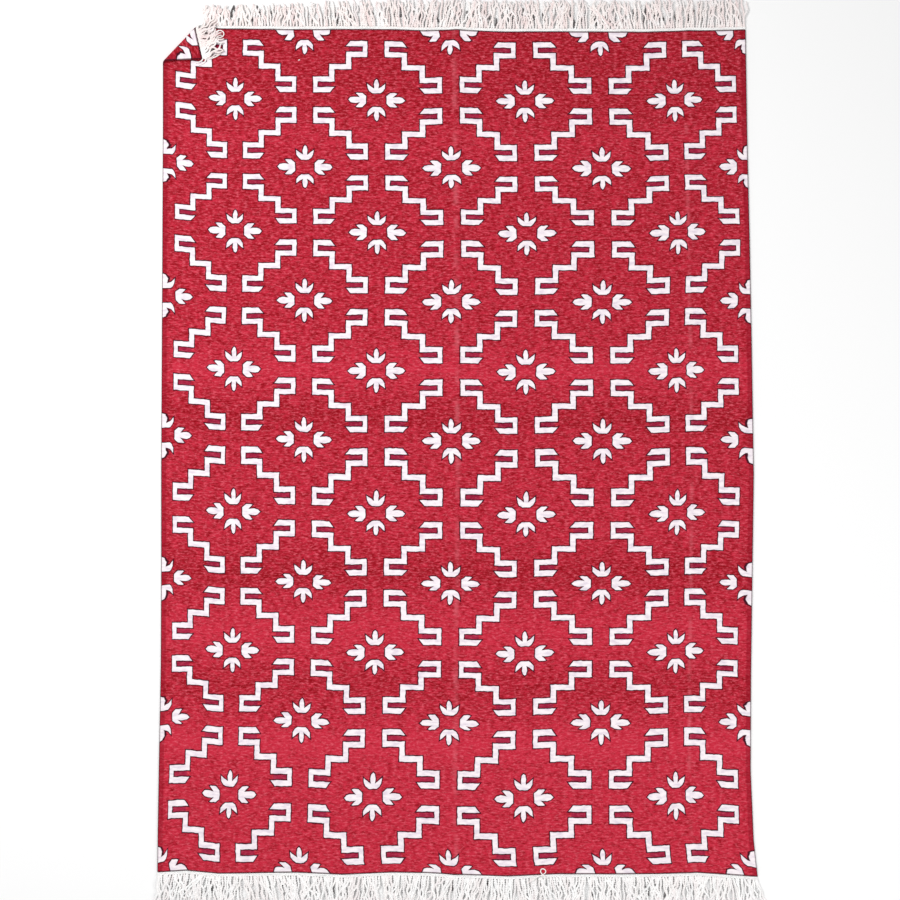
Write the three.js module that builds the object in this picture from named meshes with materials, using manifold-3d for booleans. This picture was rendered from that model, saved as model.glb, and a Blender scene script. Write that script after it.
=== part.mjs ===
// A flat-woven cotton rug that lies on the floor, with one corner turned over and a fringe at each end.
// Millimetres, +Z up. The origin is on the floor under the middle of the rug. +Y runs up its length, to the end
// with the turned corner, and +X to its right seen from above.

import * as THREE from 'three';
import { mergeVertices } from 'three/addons/utils/BufferGeometryUtils.js';
import Module from 'manifold-3d';

const wasm = await Module();
wasm.setup();

// Driving dimensions
const WIDTH = 1206;
const LENGTH = 1726;
const THICKNESS = 4;
const PART_GAP = 0.3;

// How far the selvedges stray sideways, from the near end to the far end
const SELVEDGES = [
  { along: -863, left: 0, right: 13 },
  { along: -790, left: 0, right: 5 },
  { along: -650, left: 1, right: -1 },
  { along: -450, left: 3, right: 0 },
  { along: -250, left: 2, right: 3 },
  { along: -50, left: 0, right: 6 },
  { along: 215, left: -1, right: 2 },
  { along: 430, left: -2, right: -2 },
  { along: 650, left: -3, right: -7 },
  { along: 863, left: -5, right: -10 },
];

// How far the two ends stray along the rug, from the left selvedge to the right one
const ENDS = [
  { across: -603, near: 1, far: 13 },
  { across: -545, near: 5, far: 4 },
  { across: -480, near: -1, far: 1 },
  { across: -325, near: 2, far: 0 },
  { across: -232, near: -2, far: 1 },
  { across: -130, near: 3, far: 1 },
  { across: -60, near: 2, far: -1 },
  { across: 0, near: -1, far: 1 },
  { across: 100, near: -4, far: -3 },
  { across: 200, near: 1, far: -2 },
  { across: 300, near: 1, far: -2 },
  { across: 400, near: 2, far: -2 },
  { across: 480, near: 5, far: 1 },
  { across: 545, near: 1, far: 2 },
  { across: 603, near: -3, far: 4 },
];

// The soft creases left by storing the rug folded: how high each is, and how far its slopes reach
const CREASES = [
  { across: 0, lift: 2.2, reach: 18 },
  { across: 477, lift: 1.1, reach: 15 },
];
const CREASE_STEPS = [-1, -0.4, 0, 0.4, 1];

// The turned corner at the far left: where the fold's outer edge meets each side, and how the cloth bends there
const FOLD = {
  downTheSelvedge: 80,
  alongTheEnd: 72,
  bendRadius: 5,
  droop: THREE.MathUtils.degToRad(4),
  bendSteps: 8,
};

// The fringe: a narrow heading along each end, and strands that lie on the floor
const HEADING = { depth: 5, height: 3.4, rootInset: 2.5 };
const STRAND = { pitch: 8.15, width: 4.4, height: 3, tipShare: 0.6, endMargin: 4, steps: 3, rootLift: 1.5 };
const FRINGE_LENGTH = { usual: 60, spread: 4, spreadStep: 2.4, atTheFold: 42, reachesUsualAt: 190 };
const LEAN = { slow: 0.1, slowEvery: 97, quick: 0.07, quickEvery: 43, bend: 0.11, bendEvery: 61 };
const CORNER_STRANDS = { length: 50, restsAbove: 0.4, settlesAt: 0.45, fanEach: 0.035 };

// Where the fringe is swept to the right, in radians: beside the fold, and at the near right corner
const SWEPT = [
  { end: 1, across: -603, sweep: 0.5, reach: 150 },
  { end: -1, across: 603, sweep: 0.3, reach: 110 },
];

const COTTON_RED = { color: 0xb4203a, roughness: 0.92, metalness: 0 };
const COTTON_WHITE = { color: 0xeee6e4, roughness: 0.95, metalness: 0 };

// The value of a named column at a place between two rows of a table
function between(table, place, column, at) {
  const next = Math.min(Math.max(table.findIndex((row) => row[place] >= at), 1), table.length - 1);
  const after = at > table.at(-1)[place] ? table.length - 1 : next;
  const [low, high] = [table[after - 1], table[after]];
  const share = THREE.MathUtils.clamp((at - low[place]) / (high[place] - low[place]), 0, 1);
  return THREE.MathUtils.lerp(low[column], high[column], share);
}

// Where a point of the straight rug lies on the floor, with the sides as uneven as they are
function strayed(across, along) {
  const shareAcross = across / WIDTH + 0.5;
  const shareAlong = THREE.MathUtils.clamp(along / LENGTH + 0.5, 0, 1);
  const left = between(SELVEDGES, 'along', 'left', along);
  const right = between(SELVEDGES, 'along', 'right', along);
  const near = between(ENDS, 'across', 'near', across);
  const far = between(ENDS, 'across', 'far', across);
  return new THREE.Vector2(
    across + THREE.MathUtils.lerp(left, right, shareAcross),
    along + THREE.MathUtils.lerp(near, far, shareAlong),
  );
}

// The fold's line: its outer edge seen from above, its direction, and the way to the corner
const corner = strayed(-WIDTH / 2, LENGTH / 2);
const foldStart = new THREE.Vector2(corner.x, corner.y - FOLD.downTheSelvedge);
const foldEnd = new THREE.Vector2(corner.x + FOLD.alongTheEnd, corner.y);
const foldWay = foldEnd.clone().sub(foldStart).normalize();
const cornerWay = new THREE.Vector2(-foldWay.y, foldWay.x);
const bendOuter = FOLD.bendRadius + THICKNESS / 2;
const bendAngle = Math.PI + FOLD.droop;
const bendArc = FOLD.bendRadius * bendAngle;

// How far a flat point is past the line where the cloth starts to bend
function pastBend(point) {
  return point.clone().sub(foldStart).dot(cornerWay) + bendOuter;
}

// How high the creases lift the cloth off the floor
function creaseLift(across) {
  return CREASES.reduce((sum, crease) => {
    const share = Math.min(Math.abs(across - crease.across) / crease.reach, 1);
    return sum + (crease.lift / 2) * (1 + Math.cos(Math.PI * share));
  }, 0);
}

// Where a point of the flat cloth is once the corner is turned, at a height above the cloth's middle
function folded(point, height) {
  const past = pastBend(point);
  if (past <= 0) return new THREE.Vector3(point.x, point.y, THICKNESS / 2 + creaseLift(point.x) + height);
  const angle = Math.min(past / FOLD.bendRadius, bendAngle);
  const beyond = past - FOLD.bendRadius * angle;
  const radius = FOLD.bendRadius - height;
  const out = radius * Math.sin(angle) + beyond * Math.cos(angle);
  const up = THICKNESS / 2 + FOLD.bendRadius - radius * Math.cos(angle) + beyond * Math.sin(angle);
  const flat = point.clone().addScaledVector(cornerWay, out - past);
  return new THREE.Vector3(flat.x, flat.y, up);
}

// Cuts convex polygons of the flat cloth in two along a line parallel to the fold
function cutAlong(polygons, distance) {
  return polygons.flatMap((polygon) => {
    const sides = { before: [], after: [] };
    polygon.forEach((point, i) => {
      const next = polygon[(i + 1) % polygon.length];
      const [here, there] = [pastBend(point) - distance, pastBend(next) - distance];
      if (here <= 0) sides.before.push(point);
      if (here >= 0) sides.after.push(point);
      if (here * there < 0) {
        const crossing = point.clone().lerp(next, here / (here - there));
        sides.before.push(crossing);
        sides.after.push(crossing);
      }
    });
    return [sides.before, sides.after].filter((piece) => piece.length > 2);
  });
}

// The cloth between lists of stations, as polygons that follow the bend
function clothPolygons(acrossStations, alongStations, placed, cuts) {
  const cells = [];
  for (let i = 0; i + 1 < acrossStations.length; i++) {
    for (let j = 0; j + 1 < alongStations.length; j++) {
      const [a, b] = [acrossStations[i], acrossStations[i + 1]];
      const [c, d] = [alongStations[j], alongStations[j + 1]];
      cells.push([placed(a, c), placed(b, c), placed(b, d), placed(a, d)]);
    }
  }
  return cuts.reduce(cutAlong, cells);
}

// A closed slab from polygons of the flat cloth, folded, from one height to another above the cloth's middle
function foldedSlab(polygons, low, high) {
  const positions = [];
  const numbers = new Map();
  const edges = new Map();
  const faces = [];
  const numberOf = (point) => {
    const key = `${Math.round(point.x * 1000)} ${Math.round(point.y * 1000)}`;
    if (!numbers.has(key)) {
      numbers.set(key, positions.length / 3);
      positions.push(...folded(point, low), ...folded(point, high));
    }
    return numbers.get(key);
  };
  for (const polygon of polygons) {
    const ring = polygon.map(numberOf);
    for (let i = 1; i + 1 < ring.length; i++) {
      faces.push(ring[0] + 1, ring[i] + 1, ring[i + 1] + 1, ring[0], ring[i + 1], ring[i]);
    }
    ring.forEach((from, i) => {
      const to = ring[(i + 1) % ring.length];
      if (!edges.delete(`${to} ${from}`)) edges.set(`${from} ${to}`, [from, to]);
    });
  }
  for (const [from, to] of edges.values()) faces.push(from, to, to + 1, from, to + 1, from + 1);
  return closedGeometry(positions, faces);
}

function closedGeometry(positions, faces) {
  const geometry = new THREE.BufferGeometry();
  geometry.setAttribute('position', new THREE.Float32BufferAttribute(positions, 3));
  geometry.setIndex(faces);
  return geometry;
}

// A three-sided strand along points that give the middle of its flat underside
function strandGeometry(path) {
  const positions = [];
  const faces = [];
  path.forEach((point, i) => {
    const way = path[Math.min(i + 1, path.length - 1)].clone().sub(path[Math.max(i - 1, 0)]);
    const side = new THREE.Vector3(way.y, -way.x, 0).normalize();
    const share = THREE.MathUtils.lerp(1, STRAND.tipShare, i / (path.length - 1));
    const half = (STRAND.width / 2) * share;
    const top = point.clone().setZ(point.z + STRAND.height * share);
    positions.push(...point.clone().addScaledVector(side, half));
    positions.push(...top, ...point.clone().addScaledVector(side, -half));
  });
  for (let i = 0; i + 1 < path.length; i++) {
    for (let k = 0; k < 3; k++) {
      const [a, b] = [i * 3 + k, i * 3 + ((k + 1) % 3)];
      faces.push(a, a + 3, b + 3, a, b + 3, b);
    }
  }
  const last = (path.length - 1) * 3;
  faces.push(0, 1, 2, last, last + 2, last + 1);
  return closedGeometry(positions, faces);
}

function solidOf(geometry) {
  const merged = mergeVertices(geometry, 1e-3);
  return new wasm.Manifold(new wasm.Mesh({
    numProp: 3,
    vertProperties: merged.attributes.position.array,
    triVerts: new Uint32Array(merged.index.array),
  }));
}

// One geometry of a heading and the strands rooted in it
function joined(geometries) {
  const solid = wasm.Manifold.union(geometries.map(solidOf));
  const { vertProperties, triVerts } = solid.getMesh();
  return closedGeometry([...vertProperties], [...triVerts]);
}

function named(name, geometry, finish) {
  const mesh = new THREE.Mesh(geometry, new THREE.MeshStandardMaterial(finish));
  mesh.geometry.computeVertexNormals();
  mesh.name = name;
  return mesh;
}

// Where the cloth is divided: along the bend, and from the left selvedge to the right one
const bendCuts = Array.from({ length: FOLD.bendSteps + 1 }, (_, i) => (bendArc * i) / FOLD.bendSteps);
const creaseStations = CREASES.flatMap((crease) => CREASE_STEPS.map((step) => crease.across + step * crease.reach));
const stationsAcross = [...new Set([...ENDS.map((row) => row.across), ...creaseStations])].sort((a, b) => a - b);

// The woven rug: one sheet, with its corner turned over
function wovenField() {
  const stationsAlong = SELVEDGES.map((row) => row.along);
  const polygons = clothPolygons(stationsAcross, stationsAlong, strayed, bendCuts);
  return named('rug', foldedSlab(polygons, -THICKNESS / 2, THICKNESS / 2), COTTON_RED);
}

// A point past an end of the rug, where end is 1 at the far end and -1 at the near one
function pastEnd(across, end, beyond) {
  const edge = strayed(across, (end * LENGTH) / 2);
  return edge.setY(edge.y + end * beyond);
}

// The heading at one end, as polygons of the flat cloth on the side of the bend's middle that is kept
function headingPolygons(end, kept) {
  const placed = (across, along) => pastEnd(across, end, along * end);
  const stationsAlong = [PART_GAP, PART_GAP + HEADING.depth].map((at) => at * end).sort((a, b) => a - b);
  if (end < 0) return clothPolygons(stationsAcross, stationsAlong, placed, []);
  const partings = [(bendArc - PART_GAP) / 2, (bendArc + PART_GAP) / 2];
  return clothPolygons(stationsAcross, stationsAlong, placed, [...bendCuts, ...partings]).filter((polygon) => {
    const centre = polygon.reduce((sum, point) => sum + pastBend(point), 0) / polygon.length;
    return kept === 'turned' ? centre > partings[1] : centre < partings[0];
  });
}

// How far a strand leans to the right, in radians: smooth along the end, so that neighbours never cross
function leanAt(across, end) {
  const wave = LEAN.slow * Math.sin(across / LEAN.slowEvery + end)
    + LEAN.quick * Math.sin(across / LEAN.quickEvery + 2 * end);
  return SWEPT.filter((row) => row.end === end).reduce((sum, row) => {
    const share = Math.min(Math.abs(across - row.across) / row.reach, 1);
    return sum + (row.sweep / 2) * (1 + Math.cos(Math.PI * share));
  }, wave);
}

// A strand on the floor beyond an end of the rug
function floorStrand(across, end, number) {
  const root = pastEnd(across, end, PART_GAP + HEADING.depth - HEADING.rootInset);
  const nearFold = THREE.MathUtils.smoothstep(
    across, -WIDTH / 2 + FOLD.alongTheEnd, -WIDTH / 2 + FRINGE_LENGTH.reachesUsualAt,
  );
  const full = end > 0
    ? THREE.MathUtils.lerp(FRINGE_LENGTH.atTheFold, FRINGE_LENGTH.usual, nearFold)
    : FRINGE_LENGTH.usual;
  const length = full + FRINGE_LENGTH.spread * Math.sin(number * FRINGE_LENGTH.spreadStep);
  const bend = LEAN.bend * Math.sin(across / LEAN.bendEvery + end);
  const step = length / STRAND.steps;
  const path = [new THREE.Vector3(root.x, root.y, 0)];
  for (let i = 0; i < STRAND.steps; i++) {
    const lean = leanAt(across, end) + (i - 1) * bend;
    const move = new THREE.Vector3(step * Math.sin(lean), end * step * Math.cos(lean), 0);
    path.push(path.at(-1).clone().add(move));
  }
  return strandGeometry(path);
}

// A strand of the turned corner: it leaves the heading on the flap and comes down onto the rug
function cornerStrand(across, number, count) {
  const inset = pastEnd(across, 1, PART_GAP + HEADING.depth - HEADING.rootInset);
  const outer = pastEnd(across, 1, PART_GAP + HEADING.depth);
  const under = HEADING.height - THICKNESS / 2;
  const root = folded(inset, under);
  const way = folded(outer, under).sub(root).setZ(0).normalize();
  const fan = (number - (count - 1) / 2) * CORNER_STRANDS.fanEach;
  way.applyAxisAngle(new THREE.Vector3(0, 0, 1), -fan);
  const rest = THICKNESS + CORNER_STRANDS.restsAbove;
  root.z += PART_GAP;
  const at = (share, z) => root.clone().addScaledVector(way, CORNER_STRANDS.length * share).setZ(z);
  return strandGeometry([root, at(CORNER_STRANDS.settlesAt, rest), at(1, rest)]);
}

// Where the strands are rooted across an end
const strandPlaces = [];
for (let at = -WIDTH / 2 + STRAND.endMargin; at < WIDTH / 2 - STRAND.width / 2; at += STRAND.pitch) {
  strandPlaces.push(at);
}
const rootPast = (across) => pastBend(pastEnd(across, 1, HEADING.depth));
const flatPlaces = strandPlaces.filter((at) => rootPast(at) < STRAND.rootLift);
const turnedPlaces = strandPlaces.filter((at) => rootPast(at) > bendArc + STRAND.width / 2);

function fringe(name, end, kept, strands) {
  const heading = foldedSlab(headingPolygons(end, kept), -THICKNESS / 2, HEADING.height - THICKNESS / 2);
  return named(name, joined([heading, ...strands]), COTTON_WHITE);
}

const rug = new THREE.Group();
rug.add(
  wovenField(),
  fringe('fringe_near', -1, 'flat', strandPlaces.map((at, i) => floorStrand(at, -1, i))),
  fringe('fringe_far', 1, 'flat', flatPlaces.map((at, i) => floorStrand(at, 1, i))),
  fringe('fringe_corner', 1, 'turned', turnedPlaces.map((at, i) => cornerStrand(at, i, turnedPlaces.length))),
);

export default rug;
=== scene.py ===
import math
import random

import bpy
from mathutils import Matrix, Vector


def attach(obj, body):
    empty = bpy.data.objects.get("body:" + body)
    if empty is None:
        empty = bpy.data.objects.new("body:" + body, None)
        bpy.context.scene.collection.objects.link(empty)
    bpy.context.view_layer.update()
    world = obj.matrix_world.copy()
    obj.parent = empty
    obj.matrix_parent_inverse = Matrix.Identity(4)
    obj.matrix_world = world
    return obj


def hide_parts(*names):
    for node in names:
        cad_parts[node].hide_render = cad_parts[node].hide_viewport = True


# A flat-woven cotton rug with a fringe at each end and one corner turned over, dressed over its solids.
# Sizes are in millimetres in the part's own frame, unless a comment says otherwise.

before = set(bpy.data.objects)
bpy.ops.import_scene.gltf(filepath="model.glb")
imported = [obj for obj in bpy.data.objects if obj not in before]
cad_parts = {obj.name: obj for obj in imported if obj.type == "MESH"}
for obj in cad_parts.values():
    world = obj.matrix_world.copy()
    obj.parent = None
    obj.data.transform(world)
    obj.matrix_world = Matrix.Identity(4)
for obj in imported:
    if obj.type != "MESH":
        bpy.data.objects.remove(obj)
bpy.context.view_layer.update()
MM = 0.001

# Driving dimensions
WIDTH = 1206
LENGTH = 1726
THICKNESS = 4
PART_GAP = 0.3

# How far the selvedges stray sideways in the photograph, from the near end to the far end
SELVEDGES = [
    {"along": -863, "left": 0, "right": 13},
    {"along": -790, "left": 0, "right": 5},
    {"along": -650, "left": 1, "right": -1},
    {"along": -450, "left": 3, "right": 0},
    {"along": -250, "left": 2, "right": 3},
    {"along": -50, "left": 0, "right": 6},
    {"along": 215, "left": -1, "right": 2},
    {"along": 430, "left": -2, "right": -2},
    {"along": 650, "left": -3, "right": -7},
    {"along": 863, "left": -5, "right": -10},
]

# How far the two ends stray along the rug there, from the left selvedge to the right one
ENDS = [
    {"across": -603, "near": 1, "far": 13},
    {"across": -545, "near": 5, "far": 4},
    {"across": -480, "near": -1, "far": 1},
    {"across": -325, "near": 2, "far": 0},
    {"across": -232, "near": -2, "far": 1},
    {"across": -130, "near": 3, "far": 1},
    {"across": -60, "near": 2, "far": -1},
    {"across": 0, "near": -1, "far": 1},
    {"across": 100, "near": -4, "far": -3},
    {"across": 200, "near": 1, "far": -2},
    {"across": 300, "near": 1, "far": -2},
    {"across": 400, "near": 2, "far": -2},
    {"across": 480, "near": 5, "far": 1},
    {"across": 545, "near": 1, "far": 2},
    {"across": 603, "near": -3, "far": 4},
]

# The soft creases left by storing the rug folded, and how wide to each side of their crests a pale highlight
# is painted
CREASES = [
    {"across": 0, "lift": 2.2, "reach": 18, "painted_highlight": 8},
    {"across": 477, "lift": 1.1, "reach": 15, "painted_highlight": 7},
]

# The turned corner. It is a few millimetres larger than in the solids, as the photograph shows it.
FOLD_DOWN_THE_SELVEDGE = 84
FOLD_ALONG_THE_END = 78
BEND_RADIUS = 5
BEND_ANGLE = math.pi + math.radians(4)

# A slow unevenness of the cloth, which fades out towards the turned corner and the edges
RUMPLE_MIDDLE = 0.5
RUMPLE_COARSE = 0.32
RUMPLE_FINE = 0.18
RUMPLE_FADE_AT_FOLD = 60
RUMPLE_FADE_AT_EDGE = 40

# The cloth's rounded edge and how finely its mesh is divided
EDGE_ROUND = 2
EDGE_LEAST = 0.3
EDGE_STEPS = [0, 0.4, 1.0, 2.0, 4.0, 10.0]
FINE_FROM = 118
FINE_STEP = 2.2
CREASE_STEP = 3
COARSE_STEP = 11

# The weave
WARP_PITCH = 3.6
PICK_PITCH = 1.3
WOVEN_WOBBLE = 3.3
SELVEDGE_WIDE = 10
# How wide the dark line along the selvedges and along the ends is, which is painted shade
RIM_ACROSS = 1.6
RIM_ALONG = 2.2

# The fringe, where layer 0 of the strands is the lower one
HEADING_DEPTH = 5
HEADING_CORDS = [
    {"beyond": 2.1, "radius": 2.0, "start": 0},
    {"beyond": 4.9, "radius": 2.0, "start": 1.6},
]
HEADING_TWIST = 5.2
HEADING_STEPS = 480
ROOT_BEYOND = 5.4
STRAND_PITCH = 5.8
STRAND_RADIUS = 2.6
STRAND_LENGTH = 60
STRAND_STEPS = 13
ROOT_HEIGHTS = [3.2, 3.4]
LENGTH_AT_FOLD = 39
USUAL_LENGTH_FROM = 560
LAYER_RISE = 2.4
PLIES = 3
PLY_SIDES = 5
PLY_SWING = 0.48
PLY_RADIUS = 0.56
PLY_FLATNESS = 0.85
STRAY_STEPS = 6
# Painted shade on the strands' low parts: how far below the set height it takes to grow full
PAINTED_SHADE_DEPTH = 2.4
# A height below which a whole yarn is dark with painted shade
WHOLLY_SHADED_BELOW = 99
EXTRA_AT_FOLD = 12
CORNER_STRANDS = 40
CORNER_STEPS = 18
CORNER_RADIUS = 2.1
# How many short dark yarns of painted shade lie under the turned corner's bunch
CORNER_SHADE_STRANDS = 20
CORNER_SEED = 23

# What differs between the far end, 1, and the near end, -1
# Among them, how dark the painted shade low among an end's strands is, and how often a short dark yarn of
# painted shade lies beneath them
FRINGES = {
    1: {
        "seed": 17, "painted_shade_strength": 0.85, "upper_share": 0.8, "thicker": 1,
        "heading_blush": 0.15, "blush": (0.5, 1), "shade_strand_every": 2,
    },
    -1: {
        "seed": 11, "painted_shade_strength": 0, "upper_share": 0.95, "thicker": 1.1,
        "heading_blush": 0, "blush": (0, 0.35), "shade_strand_every": 6,
    },
}

# Where the strands are swept to one side
SWEPT = [
    {"end": 1, "across": -603, "sweep": 0.5, "reach": 150},
    {"end": 1, "across": 603, "sweep": -0.22, "reach": 90},
    {"end": -1, "across": 603, "sweep": 0.3, "reach": 110},
]

# The woven lattice: a cell as it is meant, and how far inside it a stair stands
CELL_ACROSS = 150.5
CELL_ALONG = 144
STAIR_IN_ACROSS = 17.3
STAIR_IN_ALONG = 17.1

# Where the flowers' rows stand, and the middle and size of the stairs between each row and the next.
# They were measured on the photograph and rounded to whole millimetres.
ACROSS_CELLS = [
    {"flower": -604, "stair": -526, "size": 107},
    {"flower": -455, "stair": -385, "size": 111},
    {"flower": -312, "stair": -239, "size": 113},
    {"flower": -164, "stair": -88, "size": 119},
    {"flower": -12, "stair": 66, "size": 117},
    {"flower": 142, "stair": 220, "size": 120},
    {"flower": 300, "stair": 376, "size": 121},
    {"flower": 451, "stair": 524, "size": 111},
]
ALONG_CELLS = [
    {"flower": 862, "stair": 787, "size": 108},
    {"flower": 719, "stair": 649, "size": 109},
    {"flower": 579, "stair": 512, "size": 102},
    {"flower": 445, "stair": 374, "size": 110},
    {"flower": 303, "stair": 232, "size": 111},
    {"flower": 161, "stair": 89, "size": 110},
    {"flower": 18, "stair": -57, "size": 118},
    {"flower": -132, "stair": -203, "size": 111},
    {"flower": -274, "stair": -343, "size": 112},
    {"flower": -414, "stair": -485, "size": 109},
    {"flower": -558, "stair": -630, "size": 121},
    {"flower": -708, "stair": -784, "size": 120},
]

# The lattice slants a little, which was measured and rounded in the same way.
# How far it has drifted to the right, on the left and on the right of the cloth
DRIFT_ACROSS = [
    {"along": -784, "left": -5, "right": -5},
    {"along": -630, "left": -1, "right": -2},
    {"along": -300, "left": 0, "right": -5},
    {"along": 232, "left": 1, "right": -4},
    {"along": 420, "left": 2, "right": 5},
    {"along": 784, "left": 3, "right": 2},
]

# How far it has drifted towards the far end, at the near end and at the far one
DRIFT_ALONG = [
    {"across": -526, "near": 5, "far": 0},
    {"across": -88, "near": -3, "far": -3},
    {"across": 66, "near": 0, "far": 0},
    {"across": 376, "near": 0, "far": 0},
    {"across": 524, "near": 3, "far": 1},
]

# Drift fades out this near the edges
DRIFT_FADE = 24

# By the edges the lattice is stretched at the half flowers' middles and squeezed beside them.
# These are places on the cloth, and what the lattice reads there from the flowers' middles.
KNOTS_PAST_EDGE = 0.5
SIDE_KNOTS = {"left": -585, "right": 586, "reads": 8.2, "past_middle": 0.6}
END_KNOTS = {"near": -852, "far": 852, "reads": 7, "past_middle": 0.4}

# The stair, from its middle: the sides of its hooks and its step, and the heights of its bars
HOOK_SIDE = 58
HOOK_INSIDE = 47.7
TREAD_LOW = 20.5
TREAD_TOP = 32
SLOT_TOP = 42.6
HOOK_TOP = 54.9
SLOT_END = 18.4
TREAD_END = 12.1
BAR_TIP_LOW = 11.5
BAR_TIP_TOP = 21.7
STEP_SIDE = 23.9
STEP_HALF = 5.9

# The outlines of a flower's buds: how far to the side, and how far out from the bud's foot
UPRIGHT_FOOT = 15.8
UPRIGHT_LOBE = [(0, 0), (8, 0), (14, 4.5), (18, 11), (19, 22), (0, 8)]
UPRIGHT_PRONG = [(0, 2), (4, 2), (5.7, 20), (3.7, 28), (0, 31.3)]
SIDEWAYS_FOOT = 20.3
SIDEWAYS_LOBE = [(0, 0), (9.4, 0), (17.2, 8.2), (17.6, 18.8), (16.2, 23), (0, 9)]
SIDEWAYS_PRONG = [(0, 4), (4.5, 4), (8, 20.5), (8, 26.6), (6.1, 33.6), (0, 39)]
FIGURES_THINNED = 0.5

# Colours as a screen shows them, from 0 to 255
DYE_DARK = (140, 0, 15)
DYE_LIGHT = (196, 40, 62)
PALE_FLECK = (224, 96, 112)
# A painted highlight for the creases' crests
CREASE_HIGHLIGHT = (226, 120, 132)
SELVEDGE_RED = (140, 8, 30)
SLOT_RED = (128, 24, 66)
OUTLINE = (62, 6, 26)
UNDYED_LIGHT = (248, 238, 241)
UNDYED_GREY = (219, 207, 219)
YARN_WHITE = (255, 255, 254)
YARN_GREY = (248, 247, 247)
YARN_CREAM = (248, 238, 234)
YARN_PINK = (236, 214, 212)
# Painted shade, on the low parts of the fringe's strands and on the dark yarns beneath them
PAINTED_SHADE = (66, 58, 58)

# Lighter and darker dye lots along the rug, together with painted shade that runs from a darker far end to a
# lighter near end, set until the render's bands lay like the photograph's
DYE_LOTS_AND_SHADE = [
    {"along": -863, "tone": 0.1},
    {"along": -640, "tone": 0.1},
    {"along": -600, "tone": 0.2},
    {"along": -560, "tone": 0.08},
    {"along": -480, "tone": -0.02},
    {"along": -380, "tone": 0.14},
    {"along": -300, "tone": 0.04},
    {"along": -255, "tone": -0.06},
    {"along": -180, "tone": 0.05},
    {"along": 20, "tone": 0.02},
    {"along": 60, "tone": -0.06},
    {"along": 120, "tone": 0.04},
    {"along": 160, "tone": 0.12},
    {"along": 220, "tone": 0.02},
    {"along": 560, "tone": 0},
    {"along": 640, "tone": 0.04},
    {"along": 700, "tone": -0.03},
    {"along": 863, "tone": -0.05},
]

# Stray yarns placed by the photograph: its pixels to the right and down, and millimetres above the floor
STRAY_YARNS = {
    "loose_loop": [
        {"right": 526.5, "down": 884, "height": 10},
        {"right": 530, "down": 881.4, "height": 10.5},
        {"right": 534, "down": 878.7, "height": 10},
        {"right": 538, "down": 876.6, "height": 7.5},
        {"right": 541.5, "down": 875.3, "height": 5.6},
        {"right": 544.5, "down": 873.6, "height": 5.4},
        {"right": 545.8, "down": 871.2, "height": 5.4},
        {"right": 544, "down": 869, "height": 5.4},
        {"right": 541.4, "down": 869.2, "height": 5.6},
        {"right": 540.6, "down": 871.6, "height": 6.2},
        {"right": 542.2, "down": 874.2, "height": 7.6},
        {"right": 545, "down": 876.6, "height": 7.4},
        {"right": 547, "down": 878.6, "height": 7},
    ],
    "corner_loop": [
        {"right": 214, "down": 33, "height": 9},
        {"right": 217.5, "down": 31, "height": 8.5},
        {"right": 221, "down": 30.6, "height": 6.5},
        {"right": 223.6, "down": 32.6, "height": 6},
        {"right": 223.4, "down": 35.6, "height": 6},
        {"right": 220.6, "down": 37.4, "height": 6.4},
        {"right": 217.4, "down": 37.2, "height": 8.4},
    ],
    "corner_hem": [
        {"right": 202.5, "down": 57.6, "height": 8},
        {"right": 206, "down": 59, "height": 6.2},
        {"right": 211, "down": 58.4, "height": 6},
        {"right": 216, "down": 56.6, "height": 6},
        {"right": 221, "down": 53.4, "height": 6},
    ],
    "lint_far": [
        {"right": 298.2, "down": 60.5, "height": 4.9},
        {"right": 299, "down": 59.7, "height": 5},
        {"right": 300, "down": 60.1, "height": 4.9},
    ],
    "tip_upper": [
        {"right": 203.6, "down": 57, "height": 9},
        {"right": 202.2, "down": 60, "height": 6.4},
        {"right": 199.4, "down": 62, "height": 6},
        {"right": 195.6, "down": 62.8, "height": 6},
    ],
    "tip_lower": [
        {"right": 206, "down": 58, "height": 8},
        {"right": 205.4, "down": 61, "height": 6.4},
        {"right": 202.6, "down": 63.6, "height": 6},
        {"right": 198.6, "down": 65, "height": 6},
    ],
}
STRAYS_AT_CORNER = [
    {"name": "corner_loop", "radius": 1.4},
    {"name": "corner_hem", "radius": 1.7},
    {"name": "tip_upper", "radius": 1.6},
    {"name": "tip_lower", "radius": 1.7},
    {"name": "lint_far", "radius": 0.8},
]
LOOSE_LOOP_RADIUS = 1.2

# The camera, fitted to the photograph: its turn in degrees, and its place in metres
CAMERA_TURN_X = -1.268
CAMERA_TURN_Y = 0.019
CAMERA_TURN_Z = -0.247
CAMERA_DISTANCE = 2.5597
CAMERA_SHIFT_X = -0.0125
CAMERA_SHIFT_Y = -0.0022
CAMERA_LENS = 50
SENSOR_WIDTH = 36
PHOTO_SIDE = 900
PHOTO_MIDDLE = PHOTO_SIDE / 2
PHOTO_FOCAL = PHOTO_SIDE * CAMERA_LENS / SENSOR_WIDTH

# The light, and the floor in metres
WORLD_STRENGTH = 0.52
LIGHTS = [
    {"name": "key", "place": (-1.6, 0.9, 2.6), "aim": (0, 0, 0), "size": 1.0, "power": 56},
    {"name": "fill", "place": (1.7, -1.4, 2.4), "aim": (0, -0.2, 0), "size": 2.0, "power": 31},
]
FLOOR_REACH = 6
FLOOR_HEIGHT = -0.0002
FLOOR_TONE = 0.93


def between(table, place, column, at):
    """The value of a named column at a place between two rows of a table."""
    after = 1
    while after < len(table) - 1 and table[after][place] < at:
        after += 1
    low, high = table[after - 1], table[after]
    share = (at - low[place]) / (high[place] - low[place])
    share = min(max(share, 0), 1)
    return low[column] + (high[column] - low[column]) * share


def eased(share):
    """A share from 0 to 1 with a soft start and a soft end."""
    share = min(max(share, 0), 1)
    return share * share * (3 - 2 * share)


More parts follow.
